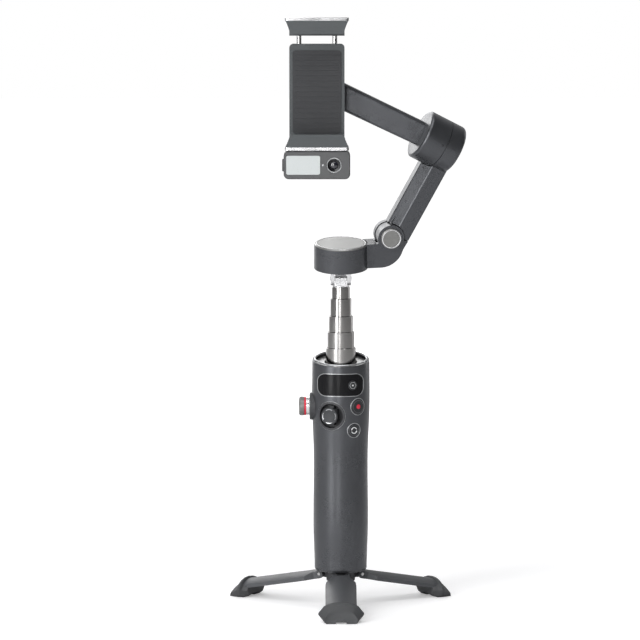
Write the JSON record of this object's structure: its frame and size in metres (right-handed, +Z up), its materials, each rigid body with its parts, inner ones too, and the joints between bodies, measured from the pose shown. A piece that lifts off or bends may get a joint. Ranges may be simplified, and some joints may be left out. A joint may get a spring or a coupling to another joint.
{
  "type": "phone gimbal stabilizer",
  "caption": "Handheld phone gimbal on a folding tripod: telescopic rod, motorised pan, tilt and roll arms, and a spring clamp with a light and camera module.",
  "frame": {"origin": "the point on the ground straight below the handle's axis", "axes": "+Z up along the handle, -Y towards the side with the controls, +X to the right as seen from that side"},
  "size_m": [0.1489, 0.1235, 0.3683],
  "materials": {
    "shell_plastic": "satin",
    "dark_plastic": "matt",
    "cap_plastic": "satin",
    "silver_trim": "polished",
    "tube_steel": "polished",
    "pin_steel": "satin",
    "black_glass": "gloss",
    "rubber_foot": "matt",
    "pad_rubber": "matt",
    "light_diffuser": "frosted",
    "lens_black": "gloss",
    "cell_wrap": "gloss",
    "module_plastic": "satin"
  },
  "bodies": {
    "handle": {"handle_front_shell": "shell_plastic", "handle_rear_shell": "shell_plastic", "base_cap": "dark_plastic", "collar_ring": "silver_trim", "collar_plate": "silver_trim", "rod_sleeve": "dark_plastic", "battery_cell": "cell_wrap", "screen_window": "black_glass", "joystick_housing": "dark_plastic", "wheel_bezel": "dark_plastic", "trigger_pin": "pin_steel", "usb_port": "pin_steel", "tripod_hub": "dark_plastic", "leg_pin_1": "pin_steel", "leg_pin_2": "pin_steel", "leg_pin_3": "pin_steel"},
    "mode_button": {"mode_button": "dark_plastic"},
    "record_button": {"record_button": "dark_plastic"},
    "switch_button": {"switch_button": "dark_plastic"},
    "joystick_cradle": {"joystick_cradle": "dark_plastic"},
    "joystick_cap": {"joystick_cap": "dark_plastic"},
    "wheel_stem": {"wheel_stem": "dark_plastic"},
    "wheel_knob": {"wheel_knob": "cap_plastic"},
    "trigger": {"trigger": "dark_plastic"},
    "leg_1": {"leg_1": "shell_plastic", "foot_1": "rubber_foot"},
    "leg_2": {"leg_2": "shell_plastic", "foot_2": "rubber_foot"},
    "leg_3": {"leg_3": "shell_plastic", "foot_3": "rubber_foot"},
    "tube_5": {"rod_tube_5": "tube_steel"},
    "tube_4": {"rod_tube_4": "tube_steel"},
    "tube_3": {"rod_tube_3": "tube_steel"},
    "tube_2": {"rod_tube_2": "tube_steel"},
    "tube_1": {"rod_tube_1": "tube_steel", "rod_head": "silver_trim"},
    "head": {"clevis": "silver_trim", "head_pin": "pin_steel", "pan_base": "dark_plastic"},
    "pan": {"pan_drum": "shell_plastic", "pan_cap": "cap_plastic", "fold_pin": "pin_steel", "fold_cap": "cap_plastic"},
    "upper_arm": {"upper_arm": "shell_plastic"},
    "tilt": {"tilt_rotor": "shell_plastic", "link_arm": "shell_plastic", "roll_housing": "shell_plastic"},
    "clamp": {"roll_rotor": "dark_plastic", "clamp_body": "shell_plastic", "clamp_pad": "pad_rubber", "lower_trim": "silver_trim", "module_body": "module_plastic", "light_panel": "light_diffuser", "lens_barrel": "lens_black"},
    "upper_jaw": {"upper_jaw": "shell_plastic", "upper_trim": "silver_trim", "guide_rod_1": "pin_steel", "guide_rod_2": "pin_steel"},
    "module_button": {"module_button": "module_plastic"}
  },
  "joints": [
    {"name": "mode_press", "type": "slide", "parent": "handle", "child": "mode_button", "axis": [-0.4083, 0.9128, 0], "range_m": [0, 0.0004], "stiffness_N_per_m": 400},
    {"name": "record_press", "type": "slide", "parent": "handle", "child": "record_button", "axis": [-0.5948, 0.8039, 0], "range_m": [0, 0.0006], "stiffness_N_per_m": 400},
    {"name": "switch_press", "type": "slide", "parent": "handle", "child": "switch_button", "axis": [-0.4726, 0.8813, 0], "range_m": [0, 0.0005], "stiffness_N_per_m": 400},
    {"name": "joystick_pan", "type": "hinge", "parent": "handle", "child": "joystick_cradle", "pos_m": [-0.00514, -0.01324, 0.1208], "axis": [0, 0, 1], "range_deg": [-14, 14], "stiffness_Nm_per_rad": 0.02},
    {"name": "joystick_tilt", "type": "hinge", "parent": "joystick_cradle", "child": "joystick_cap", "pos_m": [-0.00514, -0.01324, 0.1208], "axis": [0.9323, -0.3616, 0], "range_deg": [-14, 14], "stiffness_Nm_per_rad": 0.02},
    {"name": "wheel_press", "type": "slide", "parent": "handle", "child": "wheel_stem", "axis": [1, 0, 0], "range_m": [0, 0.0006], "stiffness_N_per_m": 500},
    {"name": "wheel_turn", "type": "hinge", "parent": "wheel_stem", "child": "wheel_knob", "pos_m": [-0.023, 0, 0.1251], "axis": [1, 0, 0], "continuous": true},
    {"name": "trigger_pull", "type": "hinge", "parent": "handle", "child": "trigger", "pos_m": [0, 0.0146, 0.1356], "axis": [-1, 0, 0], "range_deg": [0, 4], "stiffness_Nm_per_rad": 0.06},
    {"name": "leg_1_fold", "type": "hinge", "parent": "handle", "child": "leg_1", "pos_m": [0, -0.0128, 0.0186], "axis": [1, 0, 0], "range_deg": [0, 76]},
    {"name": "leg_2_fold", "type": "hinge", "parent": "handle", "child": "leg_2", "pos_m": [0.01109, 0.0064, 0.0186], "axis": [-0.5, 0.866, 0], "range_deg": [0, 76]},
    {"name": "leg_3_fold", "type": "hinge", "parent": "handle", "child": "leg_3", "pos_m": [-0.01109, 0.0064, 0.0186], "axis": [-0.5, -0.866, 0], "range_deg": [0, 76]},
    {"name": "rod_slide_5", "type": "slide", "parent": "handle", "child": "tube_5", "axis": [0, 0, 1], "range_m": [-0.0189, 0.033]},
    {"name": "rod_slide_4", "type": "slide", "parent": "tube_5", "child": "tube_4", "axis": [0, 0, 1], "range_m": [-0.0097, 0.033]},
    {"name": "rod_slide_3", "type": "slide", "parent": "tube_4", "child": "tube_3", "axis": [0, 0, 1], "range_m": [-0.0096, 0.033]},
    {"name": "rod_slide_2", "type": "slide", "parent": "tube_3", "child": "tube_2", "axis": [0, 0, 1], "range_m": [-0.0106, 0.033]},
    {"name": "rod_slide_1", "type": "slide", "parent": "tube_2", "child": "tube_1", "axis": [0, 0, 1], "range_m": [-0.0069, 0.033]},
    {"name": "head_tilt", "type": "hinge", "parent": "tube_1", "child": "head", "pos_m": [0, 0, 0.2052], "axis": [1, 0, 0], "range_deg": [0, 65]},
    {"name": "pan", "type": "hinge", "parent": "head", "child": "pan", "pos_m": [0, 0, 0.2052], "axis": [0, -0.1822, 0.9833], "range_deg": [-109, 200]},
    {"name": "arm_fold", "type": "hinge", "parent": "pan", "child": "upper_arm", "pos_m": [0.02979, 0.00062, 0.23216], "axis": [0.1822, -0.9668, -0.1792], "range_deg": [0, 80]},
    {"name": "tilt", "type": "hinge", "parent": "upper_arm", "child": "tilt", "pos_m": [0.04934, -0.00751, 0.29587], "axis": [0.86, 0.2451, -0.4476], "range_deg": [-101, 78]},
    {"name": "roll", "type": "hinge", "parent": "tilt", "child": "clamp", "pos_m": [-0.0149, -0.0095, 0.3265], "axis": [0, -1, 0], "range_deg": [-76, 248]},
    {"name": "jaw_slide", "type": "slide", "parent": "clamp", "child": "upper_jaw", "axis": [0, 0, 1], "range_m": [-0.0045, 0.014]},
    {"name": "module_press", "type": "slide", "parent": "clamp", "child": "module_button", "axis": [1, 0, 0], "range_m": [0, 0.0005], "stiffness_N_per_m": 400}
  ]
}
